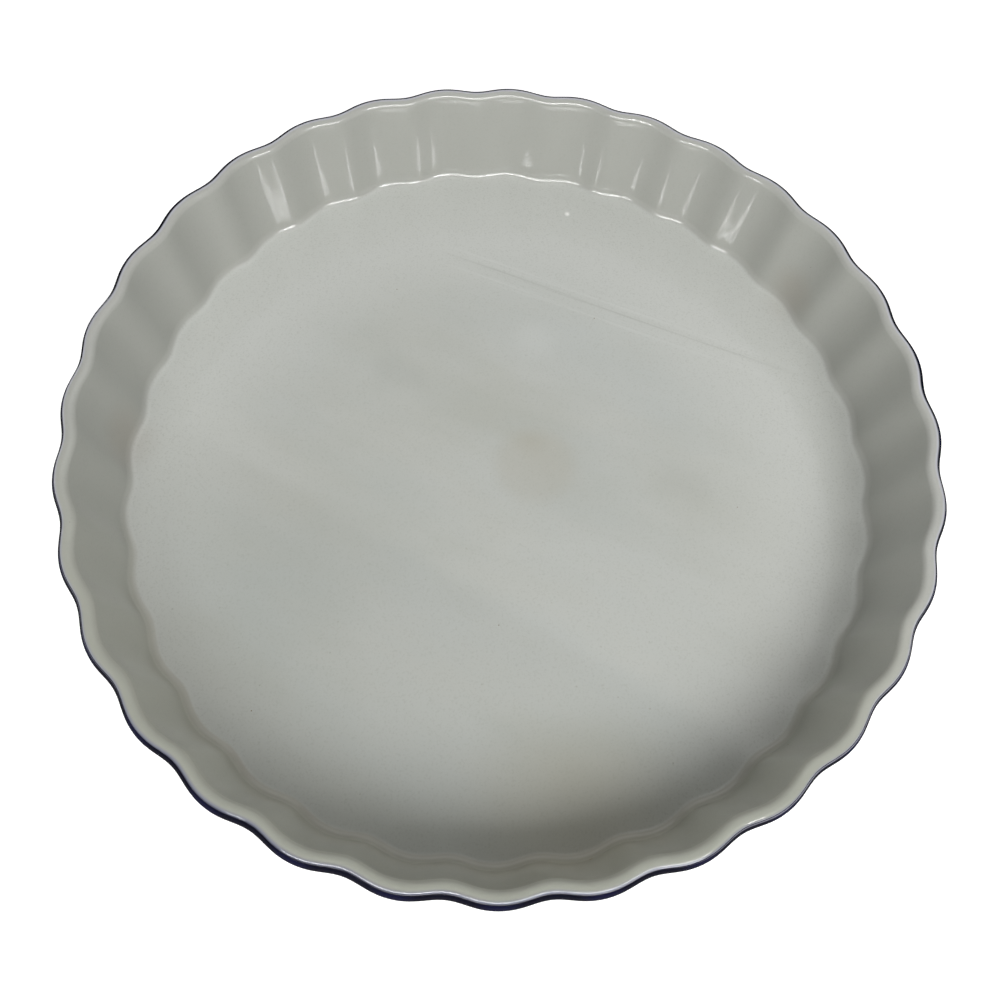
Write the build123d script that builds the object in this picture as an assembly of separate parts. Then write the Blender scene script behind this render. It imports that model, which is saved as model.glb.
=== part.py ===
from build123d import *

import os
from math import cos, pi, radians, sin, tan

# Round fluted flan dish of glazed stoneware, open at the top and standing on a bare foot ring.
# One fired clay body carries three glaze coats: a pale one inside and over the lip, a dark one
# outside and under the edge, and a dark one on the panel inside the foot ring.
# Lengths are in millimetres and angles in degrees. +Z is up, and the origin is the middle of
# the foot ring on the surface that the dish stands on. A flute's crest lies on +X.

os.makedirs("parts", exist_ok=True)

# Wall and lip, measured over the glaze
rim_diameter = 280.0          # over the crests of the flutes at the lip
total_height = 45.0           # from the foot ring's sole to the top of the lip
wall_width = 5.2              # through the wall, square to its lean
wall_lean = 3.0               # of both wall faces from upright, opening upwards
lip_outer_share = 0.54        # lip's outer rounding as a share of the wall's width
lip_inner_share = 0.36        # lip's inner rounding as a share of the wall's width

# Flutes, in step inside and outside
flute_count = 32
flute_depth = 1.9             # from crest to valley
crest_breadth_share = 0.08    # of half the depth: makes the crests broader than the valleys
points_per_flute = 4

# Floor and underside, measured over the glaze
floor_thickness = 5.9
floor_rounding = 3.0          # hollow rounding where the inner wall meets the floor
base_rounding = 4.0           # rounding where the outer wall turns under the dish

# Foot ring, bare clay
foot_height = 1.6             # below the glazed underside
foot_width = 6.0              # at its root
foot_inset = 10.0             # from the valleys at the underside's edge to the foot ring
foot_lean = 20.0              # of both sides from upright
foot_rounding = 0.5           # at both edges of the sole

# Glaze coats
glaze_thickness = 0.5
glaze_stop = 1.5              # bare clay left beside the foot ring
colour_line = 28.0            # outwards from the top of the lip to where pale meets dark

rounding_steps = 4            # rings through each rounding, less one

# Worked out from the sizes above
lean = radians(wall_lean)
lip_outer = wall_width * lip_outer_share
lip_inner = wall_width * lip_inner_share
floor_level = foot_height + floor_thickness
clay_underside = foot_height + glaze_thickness
colour_angle = 90 - colour_line


def flute(angle):
    """How far the fluted wall stands outside its mean radius at an angle in radians."""
    turn = flute_count * angle
    return flute_depth / 2 * (cos(turn) - crest_breadth_share * cos(2 * turn))


crest = flute(0)
valley = flute(pi / flute_count)
lip_radius = rim_diameter / 2 - crest - lip_outer
wall_reach = lip_radius * cos(lean) - (total_height - lip_outer) * sin(lean) + lip_outer


def centre(depth, height):
    """Section point at a depth inside the outer wall's face, square to it, and at a height."""
    return (wall_reach - depth + height * sin(lean)) / cos(lean), height


lip_outer_centre = centre(lip_outer, total_height - lip_outer)
lip_inner_centre = centre(wall_width - lip_inner, total_height - lip_inner)
floor_centre = centre(wall_width + floor_rounding, floor_level + floor_rounding)
base_centre = centre(base_rounding, foot_height + base_rounding)

foot_outer = base_centre[0] + valley - foot_inset
foot_inner = foot_outer - foot_width


def arc(middle, radius, start, end):
    """Section points along a rounding, from one angle to the other; 0 points outwards, 90 up."""
    angles = [radians(start + (end - start) * step / rounding_steps)
              for step in range(rounding_steps + 1)]
    return [(middle[0] + radius * cos(angle), middle[1] + radius * sin(angle)) for angle in angles]


def ring(point):
    """Closed fluted ring through a section point, one smooth edge for each flute."""
    radius, height = point
    pitch = 2 * pi / flute_count
    shares = [step / points_per_flute for step in range(points_per_flute + 1)]
    edges = []
    for index in range(flute_count):
        angles = [pitch * (index + share) for share in shares]
        points = [Vector((radius + flute(angle)) * cos(angle), (radius + flute(angle)) * sin(angle), height)
                  for angle in angles]
        tangents = [Vector(-sin(angle), cos(angle), 0) for angle in (angles[0], angles[-1])]
        edges.append(Edge.make_spline(points, tangents=tangents, parameters=shares))
    return Wire(edges)


def circle(radius, height):
    """Plain round ring about the dish's axis."""
    return Wire.make_circle(radius, Plane((0, 0, height)))


def strip(points):
    """Faces through the fluted rings of a run of section points."""
    return Shell.make_loft([ring(point) for point in points], ruled=len(points) == 2).faces()


def outer_lip(skin, start, end):
    """Section points of the lip's outer rounding, this far under the glaze."""
    return arc(lip_outer_centre, lip_outer - skin, start, end)


def inside_faces(skin):
    """Faces from the colour line over the lip, down the inner wall and across the floor."""
    lip_top = outer_lip(skin, colour_angle, 90)
    lip_side = arc(lip_inner_centre, lip_inner - skin, 90, 180 - wall_lean)
    foot_of_wall = arc(floor_centre, floor_rounding + skin, -wall_lean, -90)
    flat_top = Face(ring(lip_top[-1]), [ring(lip_side[0])])
    floor = Face(ring(foot_of_wall[-1]))
    return [*strip(lip_top), flat_top, *strip(lip_side), *strip([lip_side[-1], foot_of_wall[0]]),
            *strip(foot_of_wall), floor]


def outside_faces(skin):
    """Faces from the colour line down the outer wall to the edge of the underside."""
    lip_side = outer_lip(skin, colour_angle, -wall_lean)
    base = arc(base_centre, base_rounding - skin, -wall_lean, -90)
    return [*strip(lip_side), *strip([lip_side[-1], base[0]]), *strip(base)]


def underside_ring(skin):
    """Fluted edge of the underside, this far under the glaze."""
    return ring((base_centre[0], foot_height + skin))


def colour_joint():
    """Faces where the pale and the dark coat meet, from the clay out to the glazed surface."""
    return strip([outer_lip(skin, colour_angle, 0)[0] for skin in (glaze_thickness, 0)])


def foot_ring():
    """Bare ring that the dish stands on, rooted in the clay floor."""
    root = foot_height + floor_thickness / 2
    draw_in = clay_underside * tan(radians(foot_lean))
    sole = [(foot_outer - draw_in, 0), (foot_inner + draw_in, 0)]
    section = [(foot_outer, root), (foot_outer, clay_underside), *sole,
               (foot_inner, clay_underside), (foot_inner, root)]
    ring_solid = revolve(Plane.XZ * make_face(Polyline(*section, close=True)), Axis.Z)
    sole_edges = ring_solid.edges().group_by(Axis.Z)[0]
    return fillet(sole_edges, foot_rounding)


def stoneware_body():
    """Fired clay wall and floor with the foot ring."""
    skin = glaze_thickness
    dish = Solid(Shell([*inside_faces(skin), *outside_faces(skin), Face(underside_ring(skin))]))
    return dish + foot_ring()


def inner_glaze():
    """Pale coat on the floor and the inner wall and over the lip."""
    return Solid(Shell([*inside_faces(0), *inside_faces(glaze_thickness), *colour_joint()]))


def outer_glaze():
    """Dark coat from the lip down the outer wall and under the edge, short of the foot ring."""
    stop_radius = foot_outer + glaze_stop
    underside = [Face(underside_ring(skin), [circle(stop_radius, foot_height + skin)])
                 for skin in (0, glaze_thickness)]
    stop = Shell.make_loft([circle(stop_radius, foot_height), circle(stop_radius, clay_underside)], ruled=True)
    return Solid(Shell([*outside_faces(0), *outside_faces(glaze_thickness), *underside,
                        *stop.faces(), *colour_joint()]))


def base_glaze():
    """Dark coat on the panel inside the foot ring."""
    panel = Cylinder(foot_inner - glaze_stop, glaze_thickness, align=(Align.CENTER, Align.CENTER, Align.MIN))
    return Pos(0, 0, foot_height) * panel


for build in (stoneware_body, inner_glaze, outer_glaze, base_glaze):
    shape = build()
    shape.label = build.__name__
    export_step(shape, f"parts/{build.__name__}.step")
    print(f"{build.__name__}: {shape.volume:.1f} cubic millimetres, valid {shape.is_valid}")
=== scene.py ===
"""Fluted stoneware flan dish: two glazes, a bare clay foot, a slightly uneven shape and a plain studio."""
import logging
from dataclasses import dataclass
from enum import Enum
from math import cos, degrees, dist, pi, radians, sin, tan

import bmesh
import bpy
from mathutils import Matrix, Vector


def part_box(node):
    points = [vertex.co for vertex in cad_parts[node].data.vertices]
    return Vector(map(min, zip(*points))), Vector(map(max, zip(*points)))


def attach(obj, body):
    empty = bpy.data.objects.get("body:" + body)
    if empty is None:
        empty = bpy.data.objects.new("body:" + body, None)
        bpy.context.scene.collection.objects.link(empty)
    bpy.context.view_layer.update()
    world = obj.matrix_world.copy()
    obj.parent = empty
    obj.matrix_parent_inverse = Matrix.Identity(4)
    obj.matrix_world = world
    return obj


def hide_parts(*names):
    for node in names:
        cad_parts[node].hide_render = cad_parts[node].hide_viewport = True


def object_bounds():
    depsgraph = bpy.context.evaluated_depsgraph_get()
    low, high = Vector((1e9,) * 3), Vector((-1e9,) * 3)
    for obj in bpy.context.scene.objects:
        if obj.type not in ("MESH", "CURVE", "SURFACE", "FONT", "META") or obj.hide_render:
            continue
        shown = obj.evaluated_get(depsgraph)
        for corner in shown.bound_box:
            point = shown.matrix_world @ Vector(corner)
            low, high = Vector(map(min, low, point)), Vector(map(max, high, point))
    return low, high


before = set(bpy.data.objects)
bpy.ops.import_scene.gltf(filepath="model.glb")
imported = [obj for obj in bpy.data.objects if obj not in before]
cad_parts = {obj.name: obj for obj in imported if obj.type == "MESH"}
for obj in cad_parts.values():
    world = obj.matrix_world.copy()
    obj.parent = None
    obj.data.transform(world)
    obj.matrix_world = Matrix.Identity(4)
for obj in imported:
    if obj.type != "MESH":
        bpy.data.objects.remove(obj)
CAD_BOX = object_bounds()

MM = 0.001
BODY = "root"
PHOTO_SIDE = 1000
SAME_PLACE = MM / 1000
LARGE_PIMPLE = (24.9 * MM, 112.3 * MM)
Tree = bpy.types.NodeTree
Node = bpy.types.Node
Socket = bpy.types.NodeSocket
Material = bpy.types.Material
log = logging.getLogger("flan_dish")


class Layers(Enum):
    """How many layers, each finer than the last, a noise is made of."""

    FEW = 1.0
    SOME = 2.0
    MANY = 3.0


def linear(colour: str) -> tuple[float, float, float, float]:
    """Turn a colour as the eye reads it into the linear values that Blender works with.

    Args:
        colour: sRGB colour as "#RRGGBB".

    Returns:
        Linear red, green and blue, and an alpha of 1.
    """
    shares = [int(colour[place:place + 2], 16) / 255 for place in (1, 3, 5)]
    return (*(share / 12.92 if share <= 0.04045 else ((share + 0.055) / 1.055) ** 2.4
              for share in shares), 1.0)


def add_node(tree: Tree, kind: str, inputs: dict | None = None, **settings) -> Node:
    """Add a node to a tree with its settings, its input values and its links.

    Args:
        tree: node tree of a material, the world or a modifier.
        kind: Blender's name of the node type.
        inputs: for an input's name or place, a value, an output to link from, or a node whose first
            output in use is linked.
        settings: the node's own settings, by name.

    Returns:
        The new node.
    """
    node = tree.nodes.new(kind)
    for name, value in settings.items():
        setattr(node, name, value)
    for key, value in (inputs or {}).items():
        by_name = (socket for socket in node.inputs if socket.enabled and socket.name == key)
        socket = node.inputs[key] if isinstance(key, int) else next(by_name)
        if isinstance(value, Node):
            value = next(output for output in value.outputs if output.enabled)
        if isinstance(value, Socket):
            tree.links.new(value, socket)
        else:
            socket.default_value = value
    return node


def start_material(name: str) -> tuple[Material, Tree, Socket]:
    """Make a node material with nothing in it but the place on the surface.

    Args:
        name: the material's name.

    Returns:
        The material, its tree and the place in the piece's own coordinates.
    """
    material = bpy.data.materials.new(name)
    material.use_nodes = True
    tree = material.node_tree
    tree.nodes.clear()
    return material, tree, add_node(tree, "ShaderNodeTexCoord").outputs["Object"]


def start_tree(name: str, sockets: dict[str, str]) -> tuple[Tree, bpy.types.bpy_prop_collection]:
    """Make a Geometry Nodes tree with its named inputs and its one output.

    Args:
        name: the tree's name.
        sockets: the kind of each input, by the input's name.

    Returns:
        The tree, and its inputs to link from.
    """
    tree = bpy.data.node_groups.new(name, "GeometryNodeTree")
    for label, kind in sockets.items():
        tree.interface.new_socket(label, in_out="INPUT", socket_type=f"NodeSocket{kind}")
    tree.interface.new_socket("Geometry", in_out="OUTPUT", socket_type="NodeSocketGeometry")
    return tree, add_node(tree, "NodeGroupInput").outputs


def put_in_scene(name: str, data: bpy.types.ID) -> bpy.types.Object:
    """Make an object of a mesh, a lamp or a camera and put it in the scene.

    Args:
        name: the object's name.
        data: what it shows.

    Returns:
        The object.
    """
    placed = bpy.data.objects.new(name, data)
    bpy.context.scene.collection.objects.link(placed)
    return placed


# Shape

@dataclass(frozen=True)
class DishSizes:
    """Sizes of the dish in metres and radians, measured over the glaze."""

    rim_diameter: float
    total_height: float
    floor_level: float
    foot_height: float
    glaze_thickness: float
    base_panel_radius: float
    wall_width: float = 5.2 * MM
    wall_lean: float = radians(3.0)
    lip_outer_share: float = 0.54
    lip_inner_share: float = 0.36
    flute_count: int = 32
    flute_depth: float = 1.9 * MM
    crest_breadth_share: float = 0.08
    floor_rounding: float = 3.0 * MM
    base_rounding: float = 4.0 * MM
    foot_width: float = 6.0 * MM
    foot_lean: float = radians(20.0)
    foot_rounding: float = 0.5 * MM
    glaze_stop: float = 1.5 * MM
    glaze_edge_rounding: float = 0.22 * MM
    colour_line: float = radians(28.0)
    lobe_count: int = 3
    lobe_depth: float = 0.89 * MM
    lobe_direction: float = radians(10.5)

    @classmethod
    def from_frame(cls) -> "DishSizes":
        """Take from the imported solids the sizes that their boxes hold.

        Returns:
            The dish's sizes.
        """
        lowest, highest = CAD_BOX
        inner_low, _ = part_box("inner_glaze")
        base_low, base_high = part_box("base_glaze")
        thickness = base_high.z - base_low.z
        return cls(rim_diameter=highest.x - lowest.x, total_height=highest.z,
                   floor_level=inner_low.z + thickness, foot_height=base_low.z,
                   glaze_thickness=thickness, base_panel_radius=base_high.x)

    def flute(self, turn: float) -> float:
        """Give how far the wall stands outside its mean radius, a turn of 2 pi being one flute."""
        return self.flute_depth / 2 * (cos(turn) - self.crest_breadth_share * cos(2 * turn))

    @property
    def lip_outer(self) -> float:
        """Radius of the lip's outer rounding."""
        return self.wall_width * self.lip_outer_share

    @property
    def lip_inner(self) -> float:
        """Radius of the lip's inner rounding."""
        return self.wall_width * self.lip_inner_share

    def centre(self, depth: float, height: float) -> tuple[float, float]:
        """Place a point of the section in the wall.

        Args:
            depth: depth inside the outer wall's face, square to it.
            height: height above the surface that the dish stands on.

        Returns:
            The point's mean radius and its height.
        """
        lip_radius = self.rim_diameter / 2 - self.flute(0) - self.lip_outer
        rise = self.total_height - self.lip_outer
        reach = lip_radius * cos(self.wall_lean) - rise * sin(self.wall_lean) + self.lip_outer
        return (reach - depth + height * sin(self.wall_lean)) / cos(self.wall_lean), height

    @property
    def lip_outer_centre(self) -> tuple[float, float]:
        """Middle of the lip's outer rounding."""
        return self.centre(self.lip_outer, self.total_height - self.lip_outer)

    @property
    def lip_inner_centre(self) -> tuple[float, float]:
        """Middle of the lip's inner rounding."""
        return self.centre(self.wall_width - self.lip_inner, self.total_height - self.lip_inner)

    @property
    def floor_centre(self) -> tuple[float, float]:
        """Middle of the hollow rounding between floor and wall."""
        return self.centre(self.wall_width + self.floor_rounding, self.floor_level + self.floor_rounding)

    @property
    def base_centre(self) -> tuple[float, float]:
        """Middle of the rounding where the outer wall turns under the dish."""
        return self.centre(self.base_rounding, self.foot_height + self.base_rounding)

    @property
    def foot_outer(self) -> float:
        """Outer radius of the foot ring where it leaves the underside."""
        return self.foot_inner + self.foot_width

    @property
    def foot_inner(self) -> float:
        """Inner radius of the foot ring where it leaves the underside."""
        return self.base_panel_radius + self.glaze_stop


class Skin(Enum):
    """Which of a coat's two faces a run of section points lies on, as a share of the coat's thickness."""

    GLAZED = 0.0
    CLAY = 1.0


@dataclass
class Section:
    """Cross-section of one piece, drawn in order so that its outside lies on the left of its path."""

    sizes: DishSizes

    def __post_init__(self) -> None:
        """Start with no points."""
        self.points: list[tuple[float, float]] = []
        self.shown: list[bool] = []

    def add(self, points: list[tuple[float, float]], skin: Skin) -> None:
        """Add points, leaving out one that repeats the last.

        Args:
            points: radius and height of each point.
            skin: the face that they lie on.
        """
        for point in points:
            if self.points and dist(point, self.points[-1]) < SAME_PLACE:
                continue
            self.points.append(point)
            self.shown.append(skin is Skin.GLAZED)

    def line(self, end: tuple[float, float], skin: Skin, steps: int) -> None:
        """Add a straight run from the last point.

        Args:
            end: radius and height of its last point.
            skin: the face that it lies on.
            steps: number of equal steps.
        """
        start = self.points[-1]
        self.add([tuple(a + (b - a) * step / steps for a, b in zip(start, end))
                  for step in range(1, steps + 1)], skin)

    def arc(self, middle: tuple[float, float], radius: float, start: float, end: float, skin: Skin,
            steps: int) -> None:
        """Add a rounding.

        Args:
            middle: radius and height of its centre.
            radius: its own radius.
            start: angle of its first point in degrees; 0 points outwards and 90 up.
            end: angle of its last point in degrees.
            skin: the face that it lies on.
            steps: number of equal steps.
        """
        angles = [radians(start + (end - start) * step / steps) for step in range(steps + 1)]
        self.add([(middle[0] + radius * cos(angle), middle[1] + radius * sin(angle)) for angle in angles],
                 skin)

    def flute_share(self, point: tuple[float, float]) -> float:
        """Give how much of the flutes' depth a point has: all in the wall, none inside the foot ring.

        Args:
            point: its mean radius and height.

        Returns:
            The share, from 0 to 1.
        """
        radius, height = point
        plain = self.sizes.foot_outer + self.sizes.glaze_stop
        full = self.sizes.base_centre[0]
        if height > self.sizes.floor_level - 2 * self.sizes.glaze_thickness:
            plain, full = 0.0, self.sizes.floor_centre[0]
        share = min(max((radius - plain) / (full - plain), 0), 1)
        return share * share * (3 - 2 * share)

    def mesh(self, name: str, colour_line: tuple[float, float]) -> bpy.types.Mesh:
        """Make the section a mesh line that carries its shares as attributes.

        Args:
            name: the mesh's name.
            colour_line: the point where pale and navy glaze meet, from which distances are counted.

        Returns:
            The mesh, with its points in the XZ plane.
        """
        mesh = bpy.data.meshes.new(name)
        edges = [(index, index + 1) for index in range(len(self.points) - 1)]
        mesh.from_pydata([(radius, 0, height) for radius, height in self.points], edges, [])
        lengths = [0.0]
        for a, b in zip(self.points, self.points[1:]):
            lengths.append(lengths[-1] + dist(a, b))
        gaps = [dist(point, colour_line) for point in self.points]
        start = lengths[gaps.index(min(gaps))]
        values = {
            "flute_share": [self.flute_share(point) for point in self.points],
            "line_distance": [abs(length - start) for length in lengths],
            "skin_share": [float(shown) for shown in self.shown],
        }
        for key, numbers in values.items():
            mesh.attributes.new(key, "FLOAT", "POINT").data.foreach_set("value", numbers)
        return mesh


@dataclass(frozen=True)
class FlutedRing:
    """Geometry Nodes that carry a section round the dish's axis, through its flutes and its slow lobes."""

    sizes: DishSizes
    steps_per_flute: int = 24
    ripple_height: float = 0.05 * MM
    ripple_size: float = 16 * MM
    seed: int = 7

    def build_tree(self) -> Tree:
        """Make the tree, with a named input for each size.

        Returns:
            The node group.
        """
        tree, given = start_tree("fluted_ring", {
            "Section": "Geometry", "Section Points": "Int", "Steps": "Int", "Flute Count": "Int",
            "Flute Depth": "Float", "Crest Breadth Share": "Float", "Lobe Share": "Float",
            "Lobe Count": "Int", "Lobe Direction": "Float", "Ripple Height": "Float", "Ripple Size": "Float",
            "Seed": "Int", "Material": "Material"})

        # A flat grid, one row of points for each point of the section, that is bent into the ring
        ring_points = add_node(tree, "FunctionNodeIntegerMath", {0: given["Steps"], 1: 1}, operation="ADD")
        grid = add_node(tree, "GeometryNodeMeshGrid",
                        {"Vertices X": given["Section Points"], "Vertices Y": ring_points})
        index = add_node(tree, "GeometryNodeInputIndex")
        along, around = (
            add_node(tree, "FunctionNodeIntegerMath", {0: index, 1: ring_points}, operation=part)
            for part in ("DIVIDE_FLOOR", "MODULO"))
        turn = add_node(tree, "ShaderNodeMath", {0: around, 1: given["Steps"]}, operation="DIVIDE")
        angle = add_node(tree, "ShaderNodeMath", {0: turn, 1: 2 * pi}, operation="MULTIPLY")

        sampled = {}
        for key in ("flute_share", "line_distance", "skin_share"):
            value = add_node(tree, "GeometryNodeInputNamedAttribute", {"Name": key}, data_type="FLOAT")
            sampled[key] = add_node(tree, "GeometryNodeSampleIndex", {
                "Geometry": given["Section"], "Value": value, "Index": along}, data_type="FLOAT")
        drawn = add_node(tree, "GeometryNodeInputPosition")
        point = add_node(tree, "GeometryNodeSampleIndex", {
            "Geometry": given["Section"], "Value": drawn, "Index": along}, data_type="FLOAT_VECTOR")
        section = add_node(tree, "ShaderNodeSeparateXYZ", {0: point}).outputs

        # Flutes: a cosine with broader crests than valleys
        flutes = add_node(tree, "ShaderNodeMath", {0: angle, 1: given["Flute Count"]}, operation="MULTIPLY")
        wave = add_node(tree, "ShaderNodeMath", {0: flutes}, operation="COSINE")
        double = add_node(tree, "ShaderNodeMath", {0: flutes, 1: 2.0}, operation="MULTIPLY")
        double_wave = add_node(tree, "ShaderNodeMath", {0: double}, operation="COSINE")
        broader = add_node(tree, "ShaderNodeMath", {0: double_wave, 1: given["Crest Breadth Share"]},
                           operation="MULTIPLY")
        crest = add_node(tree, "ShaderNodeMath", {0: wave, 1: broader}, operation="SUBTRACT")
        shared_crest = add_node(tree, "ShaderNodeMath", {0: crest, 1: sampled["flute_share"]},
                                operation="MULTIPLY")
        half_depth = add_node(tree, "ShaderNodeMath", {0: given["Flute Depth"], 1: 2.0}, operation="DIVIDE")
        fluted = add_node(tree, "ShaderNodeMath", {0: shared_crest, 1: half_depth, 2: section["X"]},
                          operation="MULTIPLY_ADD")

        # Lobes: drying and firing left the ring a little three-sided, never wider than its nominal size
        turned = add_node(tree, "ShaderNodeMath", {0: angle, 1: given["Lobe Direction"]},
                          operation="SUBTRACT")
        lobes = add_node(tree, "ShaderNodeMath", {0: turned, 1: given["Lobe Count"]}, operation="MULTIPLY")
        lobe = add_node(tree, "ShaderNodeMath", {0: lobes}, operation="COSINE")
        swell = add_node(tree, "ShaderNodeMath", {0: lobe, 1: given["Lobe Share"], 2: 1.0},
                         operation="MULTIPLY_ADD")
        widest = add_node(tree, "ShaderNodeMath", {0: given["Lobe Share"], 1: 1.0}, operation="ADD")
        roundness = add_node(tree, "ShaderNodeMath", {0: swell, 1: widest}, operation="DIVIDE")
        radius = add_node(tree, "ShaderNodeMath", {0: fluted, 1: roundness}, operation="MULTIPLY")

        position = {"Z": section["Z"]}
        for axis, wave_kind in (("X", "COSINE"), ("Y", "SINE")):
            part = add_node(tree, "ShaderNodeMath", {0: angle}, operation=wave_kind)
            position[axis] = add_node(tree, "ShaderNodeMath", {0: radius, 1: part}, operation="MULTIPLY")
        place = add_node(tree, "ShaderNodeCombineXYZ", position)

        # Attributes that the glazes read, kept before the seam and the poles are closed
        made = grid
        for key, value in (("line_distance", sampled["line_distance"]), ("crest", shared_crest),
                           ("skin_share", sampled["skin_share"])):
            made = add_node(tree, "GeometryNodeStoreNamedAttribute", {
                "Geometry": made, "Name": key, "Value": value}, data_type="FLOAT", domain="POINT")
        bent = add_node(tree, "GeometryNodeSetPosition", {"Geometry": made, "Position": place})
        closed = add_node(tree, "GeometryNodeMergeByDistance", {"Geometry": bent, "Distance": SAME_PLACE})

        # Ripple: fired glaze is never quite level, and only ever thinner than its nominal coat
        skin = add_node(tree, "GeometryNodeInputNamedAttribute", {"Name": "skin_share"}, data_type="FLOAT")
        scale = add_node(tree, "ShaderNodeMath", {0: 1.0, 1: given["Ripple Size"]}, operation="DIVIDE")
        noise = add_node(tree, "ShaderNodeTexNoise", {
            "W": given["Seed"], "Scale": scale, "Detail": Layers.FEW.value}, noise_dimensions="4D")
        dip = add_node(tree, "ShaderNodeMath", {0: noise, 1: given["Ripple Height"]}, operation="MULTIPLY")
        inward = add_node(tree, "ShaderNodeMath", {0: dip, 1: -1.0}, operation="MULTIPLY")
        shown_dip = add_node(tree, "ShaderNodeMath", {0: inward, 1: skin}, operation="MULTIPLY")
        normal = add_node(tree, "GeometryNodeInputNormal")
        offset = add_node(tree, "ShaderNodeVectorMath", {0: normal, "Scale": shown_dip}, operation="SCALE")
        rippled = add_node(tree, "GeometryNodeSetPosition", {"Geometry": closed, "Offset": offset})

        smooth = add_node(tree, "GeometryNodeSetShadeSmooth", {"Geometry": rippled})
        real = add_node(tree, "GeometryNodeRealizeInstances", {"Geometry": smooth})
        dressed = add_node(tree, "GeometryNodeSetMaterial", {
            "Geometry": real, "Material": given["Material"]})
        add_node(tree, "NodeGroupOutput", {"Geometry": dressed})
        return tree

    def inputs(self, section: Section, material: Material, ripples: bool) -> dict[str, object]:
        """Give the values of the tree's inputs for one piece.

        Args:
            section: the piece's section.
            material: its glaze or clay.
            ripples: whether its shown face is rippled.

        Returns:
            The values by input name.
        """
        sizes = self.sizes
        mean_radius = sizes.rim_diameter / 2 - sizes.flute(0)
        return {"Section Points": len(section.points), "Steps": sizes.flute_count * self.steps_per_flute,
                "Flute Count": sizes.flute_count, "Flute Depth": sizes.flute_depth,
                "Crest Breadth Share": sizes.crest_breadth_share,
                "Lobe Share": sizes.lobe_depth / mean_radius, "Lobe Count": sizes.lobe_count,
                "Lobe Direction": sizes.lobe_direction,
                "Ripple Height": self.ripple_height if ripples else 0.0, "Ripple Size": self.ripple_size,
                "Seed": self.seed, "Material": material}


@dataclass(frozen=True)
class GlazePimples:
    """Geometry Nodes that scatter small domes of glaze on the floor, where bubbles healed in the kiln."""

    floor_radius: float
    floor_level: float
    per_square_metre: float = 4000.0
    smallest: float = 0.16 * MM
    largest: float = 0.32 * MM
    flatness: float = 0.38
    large_radius: float = 0.7 * MM
    line_distance: float = 40 * MM
    floor_points: int = 64
    small_rounds: int = 2
    large_rounds: int = 4
    seed: int = 11

    def build_tree(self) -> Tree:
        """Make the tree, with a named input for each size.

        Returns:
            The node group.
        """
        tree, given = start_tree("glaze_pimples", {
            "Floor Radius": "Float", "Floor Points": "Int", "Density": "Float", "Smallest": "Float",
            "Largest": "Float", "Small Rounds": "Int", "Large Rounds": "Int", "Dome": "Vector",
            "Floor Place": "Vector", "Large Dome": "Vector", "Large Place": "Vector",
            "Line Distance": "Float", "Seed": "Int", "Material": "Material"})

        floor = add_node(tree, "GeometryNodeMeshCircle", {
            "Vertices": given["Floor Points"], "Radius": given["Floor Radius"]}, fill_type="NGON")
        raised = add_node(tree, "GeometryNodeTransform", {
            "Geometry": floor, "Translation": given["Floor Place"]})
        points = add_node(tree, "GeometryNodeDistributePointsOnFaces", {
            "Mesh": raised, "Density": given["Density"], "Seed": given["Seed"]})
        ball = add_node(tree, "GeometryNodeMeshIcoSphere", {
            "Radius": 1.0, "Subdivisions": given["Small Rounds"]})
        dome = add_node(tree, "GeometryNodeTransform", {"Geometry": ball, "Scale": given["Dome"]})
        size = add_node(tree, "FunctionNodeRandomValue", {
            "Min": given["Smallest"], "Max": given["Largest"], "Seed": given["Seed"]}, data_type="FLOAT")
        small = add_node(tree, "GeometryNodeInstanceOnPoints", {
            "Points": points, "Instance": dome, "Scale": size})
        large_ball = add_node(tree, "GeometryNodeMeshIcoSphere", {
            "Radius": 1.0, "Subdivisions": given["Large Rounds"]})
        large = add_node(tree, "GeometryNodeTransform", {
            "Geometry": large_ball, "Translation": given["Large Place"], "Scale": given["Large Dome"]})
        joined = add_node(tree, "GeometryNodeJoinGeometry", {"Geometry": small})
        tree.links.new(large.outputs["Geometry"], joined.inputs["Geometry"])
        real = add_node(tree, "GeometryNodeRealizeInstances", {"Geometry": joined})
        marked = add_node(tree, "GeometryNodeStoreNamedAttribute", {
            "Geometry": real, "Name": "line_distance", "Value": given["Line Distance"]},
            data_type="FLOAT", domain="POINT")
        smooth = add_node(tree, "GeometryNodeSetShadeSmooth", {"Geometry": marked})
        dressed = add_node(tree, "GeometryNodeSetMaterial", {
            "Geometry": smooth, "Material": given["Material"]})
        add_node(tree, "NodeGroupOutput", {"Geometry": dressed})
        return tree

    def inputs(self, material: Material) -> dict[str, object]:
        """Give the values of the tree's inputs.

        Args:
            material: the glaze.

        Returns:
            The values by input name.
        """
        return {"Floor Radius": self.floor_radius, "Floor Points": self.floor_points,
                "Density": self.per_square_metre, "Smallest": self.smallest, "Largest": self.largest,
                "Small Rounds": self.small_rounds, "Large Rounds": self.large_rounds,
                "Dome": (1.0, 1.0, self.flatness), "Floor Place": (0.0, 0.0, self.floor_level),
                "Large Dome": (self.large_radius, self.large_radius, self.large_radius * self.flatness),
                "Large Place": (*LARGE_PIMPLE, self.floor_level), "Line Distance": self.line_distance,
                "Seed": self.seed, "Material": material}


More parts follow.
